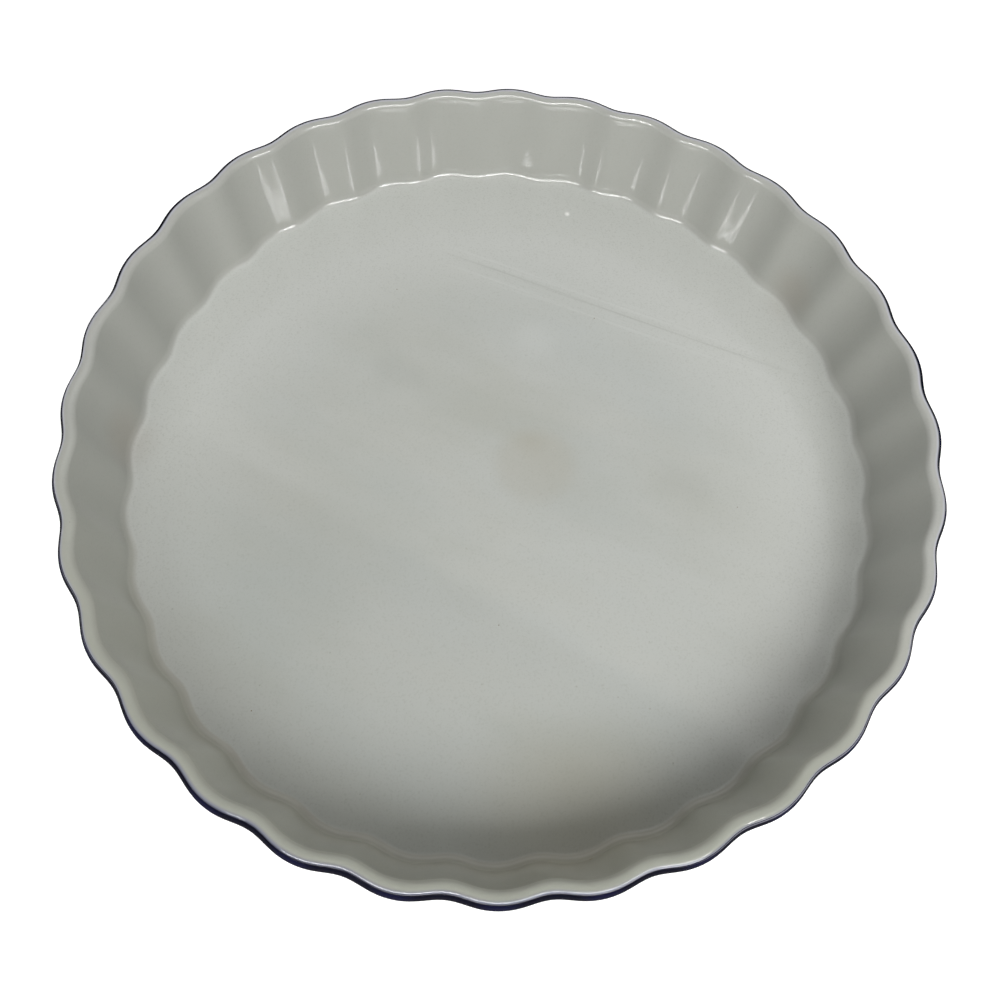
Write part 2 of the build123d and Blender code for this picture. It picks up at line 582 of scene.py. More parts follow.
def run_nodes(name: str, mesh: bpy.types.Mesh, tree: Tree,
              values: dict[str, object]) -> bpy.types.Object:
    """Run a Geometry Nodes tree once and keep its result as a plain mesh.

    Args:
        name: the new piece's name.
        mesh: the mesh that the tree starts from.
        tree: the node group.
        values: the values of its inputs by name.

    Returns:
        The piece, at the origin, with no modifier.
    """
    piece = put_in_scene(name, mesh)
    modifier = piece.modifiers.new("nodes", "NODES")
    modifier.node_group = tree
    for item in tree.interface.items_tree:
        if item.in_out == "INPUT" and item.name in values:
            modifier[item.identifier] = values[item.name]
    made = bpy.data.meshes.new_from_object(piece.evaluated_get(bpy.context.evaluated_depsgraph_get()))
    piece.modifiers.remove(modifier)
    piece.data = made
    made.name = name
    bpy.data.meshes.remove(mesh)
    return piece


def report(piece: bpy.types.Object) -> None:
    """Log a piece's triangles, its open edges and its volume, which is below 0 if it is inside out.

    Args:
        piece: the piece to measure.
    """
    solid = bmesh.new()
    solid.from_mesh(piece.data)
    volume = solid.calc_volume(signed=True) / MM ** 3
    open_edges = sum(not edge.is_manifold for edge in solid.edges)
    triangles = sum(len(face.verts) - 2 for face in solid.faces)
    solid.free()
    log.info("%s: %d triangles, %.1f mm3, %d open edges", piece.name, triangles, volume, open_edges)


# Finishes

def turned_towards(tree: Tree, place: Socket, direction: float, spread: float,
                   core: float, most: float) -> Node:
    """Give a share that is full on one side of the dish and fades out round its axis.

    Args:
        tree: the material's tree.
        place: the place on the surface.
        direction: angle of the side about the axis.
        spread: angle from there at which the share has faded out.
        core: angle from there within which it is full.
        most: the value where it is full.

    Returns:
        The share, from 0 to its most.
    """
    flat = add_node(tree, "ShaderNodeVectorMath", {0: place, 1: (1, 1, 0)}, operation="MULTIPLY")
    outwards = add_node(tree, "ShaderNodeVectorMath", {0: flat}, operation="NORMALIZE")
    facing = add_node(tree, "ShaderNodeVectorMath", {0: outwards, 1: (cos(direction), sin(direction), 0)},
                      operation="DOT_PRODUCT")
    return add_node(tree, "ShaderNodeMapRange", {
        "Value": facing.outputs["Value"], "From Min": cos(spread), "From Max": cos(core), "To Max": most},
        interpolation_type="SMOOTHSTEP")


@dataclass(frozen=True)
class Swell:
    """Side of the dish where the line between the glazes ran up the lip, or down it by a rise below 0."""

    direction: float
    spread: float
    core: float
    rise: float


@dataclass(frozen=True)
class ColourSeam:
    """Melted line between the two glazes, which wandered round the lip by a few tenths of a millimetre."""

    swells: tuple[Swell, ...] = tuple(
        Swell(radians(direction), radians(spread), radians(core), rise * MM)
        for direction, spread, core, rise in (
            (82, 98, 64, 0.85), (172, 34, 4, 0.06), (350, 30, 0, 0.20),
            (256, 42, 6, 0.36), (198, 36, 8, -0.21), (320, 38, 6, -0.40)))
    raggedness: float = 0.1 * MM
    rag_size: float = 5 * MM
    softness: float = 0.40 * MM

    def past(self, tree: Tree, place: Socket, side: float) -> Node:
        """Give how far a place lies past the melted line, counted towards the pale glaze.

        Args:
            tree: the material's tree.
            place: the place on the surface.
            side: 1 on the pale coat and -1 on the navy coat.

        Returns:
            The distance in metres, below 0 on the navy's side of the line.
        """
        distance = add_node(tree, "ShaderNodeAttribute", attribute_name="line_distance").outputs["Fac"]
        past = add_node(tree, "ShaderNodeMath", {0: distance, 1: side}, operation="MULTIPLY")
        for swell in self.swells:
            rise = turned_towards(tree, place, swell.direction, swell.spread, swell.core, swell.rise)
            past = add_node(tree, "ShaderNodeMath", {0: past, 1: rise}, operation="SUBTRACT")
        ragged = add_node(tree, "ShaderNodeTexNoise", {
            "Vector": place, "Scale": 1 / self.rag_size, "Detail": Layers.SOME.value})
        wander = add_node(tree, "ShaderNodeMapRange", {
            "Value": ragged, "To Min": -self.raggedness, "To Max": self.raggedness})
        return add_node(tree, "ShaderNodeMath", {0: past, 1: wander}, operation="ADD")

    def navy_share(self, tree: Tree, past: Node) -> Node:
        """Give the navy's share of the colour, full below the line and none above it.

        Args:
            tree: the material's tree.
            past: the distance past the line.

        Returns:
            The share, from 0 to 1.
        """
        return add_node(tree, "ShaderNodeMapRange", {
            "Value": past, "From Min": -self.softness, "From Max": self.softness,
            "To Min": 1.0, "To Max": 0.0}, interpolation_type="SMOOTHSTEP")


@dataclass(frozen=True)
class Spot:
    """Round mark on a surface, which fades out at its edge."""

    x: float
    y: float
    z: float
    radius: float
    softness: float
    colour: str
    strength: float

    def lay(self, tree: Tree, place: Socket, under: Node) -> Node:
        """Lay the mark over a colour.

        Args:
            tree: the material's tree.
            place: the place on the surface.
            under: the colour so far.

        Returns:
            The colour with the mark.
        """
        reach = add_node(tree, "ShaderNodeVectorMath", {0: place, 1: (self.x, self.y, self.z)},
                         operation="DISTANCE").outputs["Value"]
        share = add_node(tree, "ShaderNodeMapRange", {
            "Value": reach, "From Min": self.radius + self.softness,
            "From Max": self.radius - self.softness, "To Max": self.strength},
            interpolation_type="SMOOTHSTEP")
        return add_node(tree, "ShaderNodeMix", {"Factor": share, "A": under, "B": linear(self.colour)},
                        data_type="RGBA")


@dataclass(frozen=True)
class Streak:
    """Long faint streak of a colour across a surface, made of fine parallel hairs."""

    x: float
    y: float
    direction: float
    length: float
    width: float
    colour: str
    strength: float
    hair_width: float = 1.2 * MM
    hair_length: float = 60 * MM
    hair_band: tuple[float, float] = (0.4, 0.7)
    even_share: float = 0.6

    def lay(self, tree: Tree, place: Socket, under: Node) -> Node:
        """Lay the streak over a colour.

        Args:
            tree: the material's tree.
            place: the place on the surface.
            under: the colour so far.

        Returns:
            The colour with the smear.
        """
        turned = add_node(tree, "ShaderNodeMapping", {
            "Vector": place, "Location": (self.x, self.y, 0), "Rotation": (0, 0, self.direction)},
            vector_type="TEXTURE")
        parts = add_node(tree, "ShaderNodeSeparateXYZ", {0: turned}).outputs
        shares = []
        for axis, size, even in (("X", self.length, self.even_share), ("Y", self.width, 0.0)):
            reach = add_node(tree, "ShaderNodeMath", {0: parts[axis]}, operation="ABSOLUTE")
            shares.append(add_node(tree, "ShaderNodeMapRange", {
                "Value": reach, "From Min": size / 2, "From Max": size / 2 * even},
                interpolation_type="SMOOTHSTEP"))
        combed = add_node(tree, "ShaderNodeMapping", {
            "Vector": turned, "Scale": (1 / self.hair_length, 1 / self.hair_width, 0)})
        hairs = add_node(tree, "ShaderNodeTexNoise", {
            "Vector": combed, "Scale": 1.0, "Detail": Layers.SOME.value})
        broken = add_node(tree, "ShaderNodeMapRange", {
            "Value": hairs, "From Min": self.hair_band[0], "From Max": self.hair_band[1],
            "To Max": self.strength})
        share = add_node(tree, "ShaderNodeMath", {0: shares[0], 1: shares[1]}, operation="MULTIPLY")
        share = add_node(tree, "ShaderNodeMath", {0: share, 1: broken}, operation="MULTIPLY")
        return add_node(tree, "ShaderNodeMix", {"Factor": share, "A": under, "B": linear(self.colour)},
                        data_type="RGBA")


@dataclass(frozen=True)
class OrangePeel:
    """Faint unevenness of a fired gloss, which bends what it mirrors."""

    size: float = 3.5 * MM
    height: float = 0.004 * MM

    def bump(self, tree: Tree, place: Socket) -> Node:
        """Give the bumped normal.

        Args:
            tree: the material's tree.
            place: the place on the surface.

        Returns:
            The normal.
        """
        peel = add_node(tree, "ShaderNodeTexNoise", {
            "Vector": place, "Scale": 1 / self.size, "Detail": Layers.FEW.value})
        return add_node(tree, "ShaderNodeBump", {"Height": peel, "Distance": self.height})


@dataclass(frozen=True)
class PaleGlaze:
    """Off-white tin and zircon glaze on stoneware, dipped and fired glossy.

    The eye gets a clear wet gloss over a cool grey-white. The coat is a shade greyer where it ran thin
    down the walls, a grey that also darkens the hollow at their foot as painted shade, and whiter where it
    lay thick at their foot, a lightness that is partly painted light. On the near side its wall is painted
    lighter and warmer as painted light, its lip is painted darker as painted shade and is duller, and the
    hollow at the wall's foot is painted darker as painted shade. It has faint drawn-out clouds, fine grain,
    a few iron specks, the marks of use, and a lilac breath where the cobalt of the navy glaze ran into it,
    made lighter on the far and side lips as painted light and darker on the near lip as painted shade.
    """

    floor_level: float
    lip_level: float
    floor_edge: float
    marks: tuple[Spot | Streak, ...]
    seam: ColourSeam = ColourSeam()
    peel: OrangePeel = OrangePeel()
    body: str = "#C0C2BC"
    cloud: str = "#B7B9B1"
    cool_cloud: str = "#B8BFBE"
    cool_strength: float = 0.35
    pool_and_painted_light: str = "#CCCEC9"
    wall: str = "#B5B6B0"
    painted_light_near_wall: str = "#BABAAE"
    painted_shade_foot: str = "#AFAEA3"
    painted_shade_near_lip: str = "#A4A69B"
    lilac: str = "#C6C7D1"
    painted_shade_near_lilac: str = "#7C7E90"
    navy: str = "#0E0E1A"
    grain: str = "#A8AAA2"
    speck: str = "#7B6A52"
    specular: float = 0.5
    near_lip_specular: float = 0.25
    roughness: float = 0.05
    ior: float = 1.58
    cloud_seed: float = 1.0
    cool_seed: float = 5.0
    cloud_size: float = 30 * MM
    cloud_draw: float = 2.6
    cloud_direction: float = radians(-22)
    cloud_roughness: float = 0.55
    cloud_band: tuple[float, float] = (0.4, 0.7)
    grain_size: float = 0.7 * MM
    grain_band: tuple[float, float] = (0.52, 0.75)
    grain_strength: float = 0.35
    speck_spacing: float = 7 * MM
    speck_radius: float = 0.28 * MM
    speck_core_share: float = 0.4
    speckless_share: float = 0.92
    hollow_shade_rise: float = 1.0 * MM
    painted_shade_foot_height: float = 2.0 * MM
    painted_shade_foot_start: float = 0.2 * MM
    bleed_width: float = 1.3 * MM
    painted_light_pool_width: float = 52 * MM
    painted_light_pool_middle: tuple[float, float] = (-7 * MM, -26 * MM)
    lip_drop: float = 1.5 * MM
    near_direction: float = radians(262)
    near_spread: float = radians(85)
    near_core: float = radians(25)

    def clouds(self, tree: Tree, place: Socket) -> Node:
        """Make the colour of an even coat with its warm and its cool clouds.

        Args:
            tree: the material's tree.
            place: the place on the surface.

        Returns:
            The colour.
        """
        colour = linear(self.body)
        drawn = add_node(tree, "ShaderNodeMapping", {
            "Vector": place, "Rotation": (0, 0, self.cloud_direction), "Scale": (self.cloud_draw, 1, 1)},
            vector_type="TEXTURE")
        for tint, seed, strength in ((self.cloud, self.cloud_seed, 1.0),
                                     (self.cool_cloud, self.cool_seed, self.cool_strength)):
            noise = add_node(tree, "ShaderNodeTexNoise", {
                "Vector": drawn, "W": seed, "Scale": 1 / self.cloud_size, "Detail": Layers.MANY.value,
                "Roughness": self.cloud_roughness}, noise_dimensions="4D")
            cloudy = add_node(tree, "ShaderNodeMapRange", {
                "Value": noise, "From Min": self.cloud_band[0], "From Max": self.cloud_band[1],
                "To Max": strength})
            colour = add_node(tree, "ShaderNodeMix", {"Factor": cloudy, "A": colour, "B": linear(tint)},
                              data_type="RGBA")
        return colour

    def body_colour(self, tree: Tree, place: Socket, near: Node, on_lip: Node) -> Node:
        """Make the glaze's colour: its clouds, thinner wall, thicker foot, grain, and the painted light and
        shade at the foot and on the near side.

        Args:
            tree: the material's tree.
            place: the place on the surface.
            near: share of the near side.
            on_lip: share of the lip.

        Returns:
            The colour.
        """
        # Lighter towards the walls' foot: partly thicker glaze, partly painted light, centred off the axis
        flat = add_node(tree, "ShaderNodeVectorMath", {0: place, 1: (1, 1, 0)}, operation="MULTIPLY")
        reach = add_node(tree, "ShaderNodeVectorMath", {0: flat, 1: (*self.painted_light_pool_middle, 0)},
                         operation="DISTANCE").outputs["Value"]
        pool_and_painted_light_share = add_node(tree, "ShaderNodeMapRange", {
            "Value": reach, "From Min": self.floor_edge - self.painted_light_pool_width, "From Max": self.floor_edge},
            interpolation_type="SMOOTHSTEP")
        height = add_node(tree, "ShaderNodeSeparateXYZ", {0: place}).outputs["Z"]
        # The greyer wall tone starts right at the floor, so it also darkens the hollow rounding at the foot
        # as painted shade
        on_wall = add_node(tree, "ShaderNodeMapRange", {
            "Value": height, "From Min": self.floor_level, "From Max": self.floor_level + self.hollow_shade_rise},
            interpolation_type="SMOOTHSTEP")
        # Painted shade: the hollow at the foot of the near wall is painted darker
        in_hollow = add_node(tree, "ShaderNodeMapRange", {
            "Value": height, "From Min": self.floor_level + self.painted_shade_foot_height,
            "From Max": self.floor_level + self.painted_shade_foot_height / 2}, interpolation_type="SMOOTHSTEP")
        off_floor = add_node(tree, "ShaderNodeMapRange", {
            "Value": height, "From Min": self.floor_level, "From Max": self.floor_level + self.painted_shade_foot_start,
            "To Max": near})
        # On the near side the wall is painted lighter and warmer as painted light, and the lip is painted
        # darker as painted shade
        painted_light_near_wall_share, painted_shade_foot_share, painted_shade_near_lip_share = (
            add_node(tree, "ShaderNodeMath", {0: share, 1: limit}, operation="MULTIPLY")
            for share, limit in ((on_wall, near), (off_floor, in_hollow), (on_lip, near)))
        colour = self.clouds(tree, place)
        for share, tone in ((pool_and_painted_light_share, self.pool_and_painted_light), (on_wall, self.wall), (painted_light_near_wall_share, self.painted_light_near_wall),
                            (painted_shade_foot_share, self.painted_shade_foot), (painted_shade_near_lip_share, self.painted_shade_near_lip)):
            colour = add_node(tree, "ShaderNodeMix", {"Factor": share, "A": colour, "B": linear(tone)},
                              data_type="RGBA")
        fine = add_node(tree, "ShaderNodeTexNoise", {
            "Vector": place, "Scale": 1 / self.grain_size, "Detail": Layers.SOME.value})
        grainy = add_node(tree, "ShaderNodeMapRange", {
            "Value": fine, "From Min": self.grain_band[0], "From Max": self.grain_band[1],
            "To Max": self.grain_strength})
        return add_node(tree, "ShaderNodeMix", {"Factor": grainy, "A": colour, "B": linear(self.grain)},
                        data_type="RGBA")

    def add_specks(self, tree: Tree, place: Socket, under: Node) -> Node:
        """Scatter iron specks over a colour.

        Args:
            tree: the material's tree.
            place: the place on the surface.
            under: the colour so far.

        Returns:
            The colour with the specks.
        """
        cells = add_node(tree, "ShaderNodeTexVoronoi", {"Vector": place, "Scale": 1 / self.speck_spacing})
        radius = self.speck_radius / self.speck_spacing
        speck = add_node(tree, "ShaderNodeMapRange", {
            "Value": cells.outputs["Distance"], "From Min": radius,
            "From Max": self.speck_core_share * radius})
        chance = add_node(tree, "ShaderNodeSeparateColor", {"Color": cells.outputs["Color"]}).outputs["Red"]
        chosen = add_node(tree, "ShaderNodeMath", {0: chance, 1: self.speckless_share},
                          operation="GREATER_THAN")
        specks = add_node(tree, "ShaderNodeMath", {0: speck, 1: chosen}, operation="MULTIPLY")
        return add_node(tree, "ShaderNodeMix", {"Factor": specks, "A": under, "B": linear(self.speck)},
                        data_type="RGBA")

    def build(self) -> Material:
        """Make the material.

        Returns:
            The material.
        """
        material, tree, place = start_material("pale_stoneware_glaze")
        near = turned_towards(tree, place, self.near_direction, self.near_spread, self.near_core, 1.0)
        height = add_node(tree, "ShaderNodeSeparateXYZ", {0: place}).outputs["Z"]
        on_lip = add_node(tree, "ShaderNodeMapRange", {
            "Value": height, "From Min": self.lip_level - self.lip_drop, "From Max": self.lip_level},
            interpolation_type="SMOOTHSTEP")
        colour = self.body_colour(tree, place, near, on_lip)
        for mark in self.marks:
            colour = mark.lay(tree, place, colour)
        colour = self.add_specks(tree, place, colour)

        # Beside the seam the cobalt tints the pale coat, and below the seam the navy itself lies over it
        past = self.seam.past(tree, place, 1.0)
        # The cobalt's tint is made lighter on the far and side lips as painted light, and darker on the near
        # lip as painted shade
        lilac = add_node(tree, "ShaderNodeMix", {
            "Factor": near, "A": linear(self.lilac), "B": linear(self.painted_shade_near_lilac)}, data_type="RGBA")
        bleed = add_node(tree, "ShaderNodeMapRange", {
            "Value": past, "From Max": self.bleed_width, "To Min": 1.0, "To Max": 0.0},
            interpolation_type="SMOOTHSTEP")
        crept = self.seam.navy_share(tree, past)
        for share, tone in ((bleed, lilac), (crept, linear(self.navy))):
            colour = add_node(tree, "ShaderNodeMix", {"Factor": share, "A": colour, "B": tone},
                              data_type="RGBA")
        wetness = add_node(tree, "ShaderNodeMapRange", {
            "Value": near, "To Min": self.specular, "To Max": self.near_lip_specular})
        lip_gloss = add_node(tree, "ShaderNodeMix", {
            "Factor": on_lip, "A": self.specular, "B": wetness}, data_type="FLOAT")
        gloss = add_node(tree, "ShaderNodeMix", {"Factor": crept, "A": lip_gloss, "B": 0.0},
                         data_type="FLOAT")
        shader = add_node(tree, "ShaderNodeBsdfPrincipled", {
            "Base Color": colour, "Roughness": self.roughness, "IOR": self.ior,
            "Specular IOR Level": gloss, "Normal": self.peel.bump(tree, place)})
        add_node(tree, "ShaderNodeOutputMaterial", {"Surface": shader})
        return material


@dataclass(frozen=True)
class NavyGlaze:
    """Cobalt and iron navy glaze on stoneware, fired glossy.

    The eye gets a near-black blue, which breaks to a lighter violet where the coat thins over the crests
    of the flutes, and grey-lilac where the pale glaze of the inside laps over its edge. Its gloss is in a
    thin clear skin, which hands and shelves have rubbed dull along the lip.
    """

    lip_level: float
    seam: ColourSeam = ColourSeam()
    peel: OrangePeel = OrangePeel()
    body: str = "#0C0C1B"
    thin: str = "#17173A"
    thin_strength: float = 0.6
    thin_start: float = 0.2
    lapped: str = "#B4B4C2"
    gloss: float = 0.5
    rubbed_gloss: float = 0.09
    rubbed_depth: float = 3 * MM
    rubbed_fade: float = 14 * MM
    gloss_roughness: float = 0.06
    gloss_ior: float = 1.5
    roughness: float = 0.5

    def build(self) -> Material:
        """Make the material.

        Returns:
            The material.
        """
        material, tree, place = start_material("navy_stoneware_glaze")
        crest = add_node(tree, "ShaderNodeAttribute", attribute_name="crest").outputs["Fac"]
        ridge = add_node(tree, "ShaderNodeMapRange", {
            "Value": crest, "From Min": self.thin_start, "From Max": 1.0, "To Max": self.thin_strength})
        navy = add_node(tree, "ShaderNodeMix", {
            "Factor": ridge, "A": linear(self.body), "B": linear(self.thin)}, data_type="RGBA")
        bare_of_pale = self.seam.navy_share(tree, self.seam.past(tree, place, -1.0))
        colour = add_node(tree, "ShaderNodeMix", {
            "Factor": bare_of_pale, "A": linear(self.lapped), "B": navy}, data_type="RGBA")
        height = add_node(tree, "ShaderNodeSeparateXYZ", {0: place}).outputs["Z"]
        clear_skin = add_node(tree, "ShaderNodeMapRange", {
            "Value": height, "From Min": self.lip_level - self.rubbed_depth - self.rubbed_fade,
            "From Max": self.lip_level - self.rubbed_depth, "To Min": self.gloss,
            "To Max": self.rubbed_gloss}, interpolation_type="SMOOTHSTEP")
        bump = self.peel.bump(tree, place)
        shader = add_node(tree, "ShaderNodeBsdfPrincipled", {
            "Base Color": colour, "Roughness": self.roughness, "Specular IOR Level": 0.0,
            "Coat Weight": clear_skin, "Coat Roughness": self.gloss_roughness, "Coat IOR": self.gloss_ior,
            "Normal": bump, "Coat Normal": bump})
        add_node(tree, "ShaderNodeOutputMaterial", {"Surface": shader})
        return material


@dataclass(frozen=True)
class BareStoneware:
    """Buff stoneware clay, fired unglazed and wiped smooth.

    The eye gets a dry, light-scattering tan with fine grit and darker iron grains.
    """

    body: str = "#BFB09A"
    grain: str = "#8C7558"
    grain_band: tuple[float, float] = (0.58, 0.72)
    roughness: float = 0.85
    grit_size: float = 0.6 * MM
    grit_height: float = 0.03 * MM

    def build(self) -> Material:
        """Make the material.

        Returns:
            The material.
        """
        material, tree, place = start_material("bare_buff_stoneware")
        grit = add_node(tree, "ShaderNodeTexNoise", {
            "Vector": place, "Scale": 1 / self.grit_size, "Detail": Layers.MANY.value})
        grains = add_node(tree, "ShaderNodeMapRange", {
            "Value": grit, "From Min": self.grain_band[0], "From Max": self.grain_band[1]})
        colour = add_node(tree, "ShaderNodeMix", {
            "Factor": grains, "A": linear(self.body), "B": linear(self.grain)}, data_type="RGBA")
        bump = add_node(tree, "ShaderNodeBump", {"Height": grit, "Distance": self.grit_height})
        shader = add_node(tree, "ShaderNodeBsdfPrincipled", {
            "Base Color": colour, "Roughness": self.roughness, "Normal": bump})
        add_node(tree, "ShaderNodeOutputMaterial", {"Surface": shader})
        return material


# Pieces

@dataclass
class FlanDish:
    """The dish: fired clay body, pale inner coat, navy outer coat and navy base panel."""

    sizes: DishSizes
    ring: FlutedRing
    marks: tuple[Spot | Streak, ...]
    shown_floor_steps: int = 27
    hidden_floor_steps: int = 15
    shown_wall_steps: int = 14
    hidden_wall_steps: int = 8
    shown_panel_steps: int = 24
    hidden_panel_steps: int = 8
    clay_panel_steps: int = 10
    glaze_edge_steps: int = 4
    sole_edge_steps: int = 5
    sole_side_steps: int = 3

    @property
    def colour_angle(self) -> float:
        """Angle in degrees on the lip's outer rounding where pale meets navy."""
        return 90 - degrees(self.sizes.colour_line)

    def lip_over(self, section: Section, skin: Skin, start: float, end: float, steps: int) -> None:
        """Add a stretch of the lip's outer rounding to a section.

        Args:
            section: the section to add to.
            skin: the face of the coat.
            start: first angle in degrees.
            end: last angle in degrees.
            steps: number of steps.
        """
        sizes = self.sizes
        section.arc(sizes.lip_outer_centre, sizes.lip_outer - skin.value * sizes.glaze_thickness, start, end,
                    skin, steps)

    def inside(self, section: Section, skin: Skin, steps: int, outwards: bool) -> None:
        """Add the floor, the inner wall and the lip's top up to the colour line, or the same backwards.

        Args:
            section: the section to add to.
            skin: the face of the coat.
            steps: number of steps on the floor; the rest is in proportion.
            outwards: whether it runs from the axis to the colour line.
        """
        sizes = self.sizes
        drop = skin.value * sizes.glaze_thickness
        run = Section(sizes)
        run.add([(0, sizes.floor_level - drop)], skin)
        run.line((sizes.floor_centre[0], sizes.floor_level - drop), skin, steps)
        lean = degrees(sizes.wall_lean)
        run.arc(sizes.floor_centre, sizes.floor_rounding + drop, -90, -lean, skin, steps // 3)
        lip = Section(sizes)
        lip.arc(sizes.lip_inner_centre, sizes.lip_inner - drop, 180 - lean, 90, skin, steps // 3)
        run.line(lip.points[0], skin, steps // 2)
        run.add(lip.points, skin)
        self.lip_over(run, skin, 90, self.colour_angle, steps // 3)
        section.add(run.points if outwards else run.points[::-1], skin)

    def outside(self, section: Section, skin: Skin, steps: int, downwards: bool, stop: float) -> None:
        """Add the lip from the colour line, the outer wall and the underside to a radius, or backwards.

        Args:
            section: the section to add to.
            skin: the face of the coat.
            steps: number of steps in the wall; the rest is in proportion.
            downwards: whether it runs from the colour line to the underside.
            stop: radius where it ends.
        """
        sizes = self.sizes
        drop = skin.value * sizes.glaze_thickness
        run = Section(sizes)
        lean = degrees(sizes.wall_lean)
        self.lip_over(run, skin, self.colour_angle, -lean, steps)
        base = Section(sizes)
        base.arc(sizes.base_centre, sizes.base_rounding - drop, -lean, -90, skin, steps // 2)
        run.line(base.points[0], skin, steps)
        run.add(base.points, skin)
        run.line((stop, sizes.foot_height + drop), skin, steps // 3)
        section.add(run.points if downwards else run.points[::-1], skin)

    def colour_line(self) -> tuple[float, float]:
        """Find where the pale and the navy glaze meet.

        Returns:
            Radius and height of the section point.
        """
        seam = Section(self.sizes)
        self.lip_over(seam, Skin.GLAZED, self.colour_angle, self.colour_angle, 1)
        return seam.points[0]

    def inner_section(self) -> Section:
        """Draw the pale coat: its glazed face outwards, then its clay face back.

        Returns:
            The section.
        """
        section = Section(self.sizes)
        self.inside(section, Skin.GLAZED, self.shown_floor_steps, outwards=True)
        self.inside(section, Skin.CLAY, self.hidden_floor_steps, outwards=False)
        return section

    def outer_section(self) -> Section:
        """Draw the navy coat as a closed loop, rounded where it stops beside the foot ring.

        Returns:
            The section.
        """
        sizes = self.sizes
        stop = sizes.foot_outer + sizes.glaze_stop
        edge = sizes.glaze_edge_rounding
        section = Section(sizes)
        self.outside(section, Skin.GLAZED, self.shown_wall_steps, downwards=True, stop=stop + edge)
        section.arc((stop + edge, sizes.foot_height + edge), edge, 270, 180, Skin.GLAZED,
                    self.glaze_edge_steps)
        self.outside(section, Skin.CLAY, self.hidden_wall_steps, downwards=False, stop=stop)
        section.add([self.colour_line()], Skin.GLAZED)
        return section

    def base_section(self) -> Section:
        """Draw the navy panel inside the foot ring, with a rounded edge.

        Returns:
            The section.
        """
        sizes = self.sizes
        edge = sizes.glaze_edge_rounding
        top = sizes.foot_height + sizes.glaze_thickness
        section = Section(sizes)
        section.add([(0, top)], Skin.CLAY)
        section.line((sizes.base_panel_radius, top), Skin.CLAY, self.hidden_panel_steps)
        section.arc((sizes.base_panel_radius - edge, sizes.foot_height + edge), edge, 0, -90, Skin.GLAZED,
                    self.glaze_edge_steps)
        section.line((0, sizes.foot_height), Skin.GLAZED, self.shown_panel_steps)
        return section

    def clay_section(self) -> Section:
        """Draw the fired body: under the pale coat, under the navy coat, then the bare foot ring.

        Returns:
            The section.
        """
        sizes = self.sizes
        underside = sizes.foot_height + sizes.glaze_thickness
        round_off = sizes.foot_rounding
        lean = sizes.foot_lean
        section = Section(sizes)
        self.inside(section, Skin.CLAY, self.hidden_floor_steps, outwards=True)
        self.outside(section, Skin.CLAY, self.hidden_wall_steps, downwards=True, stop=sizes.foot_outer)
        draw_in = underside * tan(lean)
        tangent = round_off * tan((pi / 2 - lean) / 2)
        outer_sole = (sizes.foot_outer - draw_in - tangent, round_off)
        inner_sole = (sizes.foot_inner + draw_in + tangent, round_off)
        section.arc(outer_sole, round_off, -degrees(lean), -90, Skin.GLAZED, self.sole_edge_steps)
        section.arc(inner_sole, round_off, -90, degrees(lean) - 180, Skin.GLAZED, self.sole_edge_steps)
        section.line((sizes.foot_inner, underside), Skin.GLAZED, self.sole_side_steps)
        section.line((0, underside), Skin.CLAY, self.clay_panel_steps)
        return section

    def build(self) -> list[bpy.types.Object]:
        """Make the four coats and bodies, each in place of its solid, and the pimples on the floor.

        Returns:
            The pieces.
        """
        tree = self.ring.build_tree()
        sizes = self.sizes
        floor_edge = sizes.floor_centre[0] - sizes.flute_depth / 2
        pale = PaleGlaze(sizes.floor_level, sizes.total_height, floor_edge, self.marks).build()
        navy, bare = NavyGlaze(sizes.total_height).build(), BareStoneware().build()
        plans = (("inner_glaze_coat", "inner_glaze", "pale_glaze", self.inner_section(), pale, True),
                 ("outer_glaze_coat", "outer_glaze", "navy_glaze", self.outer_section(), navy, True),
                 ("base_glaze_panel", "base_glaze", "navy_base_glaze", self.base_section(), navy, True),
                 ("fired_clay_body", "stoneware_body", "bare_stoneware", self.clay_section(), bare, False))
        pieces = []
        for name, node, slot, section, material, ripples in plans:
            mesh = section.mesh(name, self.colour_line())
            piece = run_nodes(name, mesh, tree, self.ring.inputs(section, material, ripples))
            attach(piece, BODY)
            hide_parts(node)
            pieces.append(piece)
        pimples = GlazePimples(sizes.floor_centre[0] - sizes.flute_depth, sizes.floor_level)
        piece = run_nodes("glaze_pimples", bpy.data.meshes.new("glaze_pimples"), pimples.build_tree(),
                          pimples.inputs(pale))
        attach(piece, BODY)
        pieces.append(piece)
        for piece in pieces:
            report(piece)
        return pieces


# Studio

def hang_lamp(name: str, width: float, depth: float, power: float) -> bpy.types.Object:
    """Make a rectangular lamp that the camera doesn't see.

    Args:
        name: the lamp's name.
        width: its size along its own X.
        depth: its size along its own Y.
        power: its power in watts.

    Returns:
        The lamp.
    """
    data = bpy.data.lights.new(name, "AREA")
    data.shape = "RECTANGLE"
    data.size = width
    data.size_y = depth
    data.energy = power
    lamp = put_in_scene(name, data)
    lamp.visible_camera = False
    return lamp


@dataclass(frozen=True)
class AreaLamp:
    """Soft rectangular lamp that faces the dish, and that may light it, glint in it or do both."""

    name: str
    azimuth: float
    elevation: float
    width: float
    height: float
    power: float
    lights: bool = True
    glints: bool = True
    distance: float = 0.9

    def build(self, target: Vector) -> None:
        """Make the lamp and turn it to a point.

        Args:
            target: the point that it faces.
        """
        lamp = hang_lamp(self.name, self.width, self.height, self.power)
        level = Vector((sin(self.azimuth), -cos(self.azimuth), 0)) * cos(self.elevation)
        direction = level + Vector((0, 0, sin(self.elevation)))
        lamp.location = target + direction * self.distance
        lamp.rotation_euler = (-direction).to_track_quat("-Z", "Y").to_euler()
        lamp.visible_diffuse = self.lights
        lamp.visible_glossy = self.glints


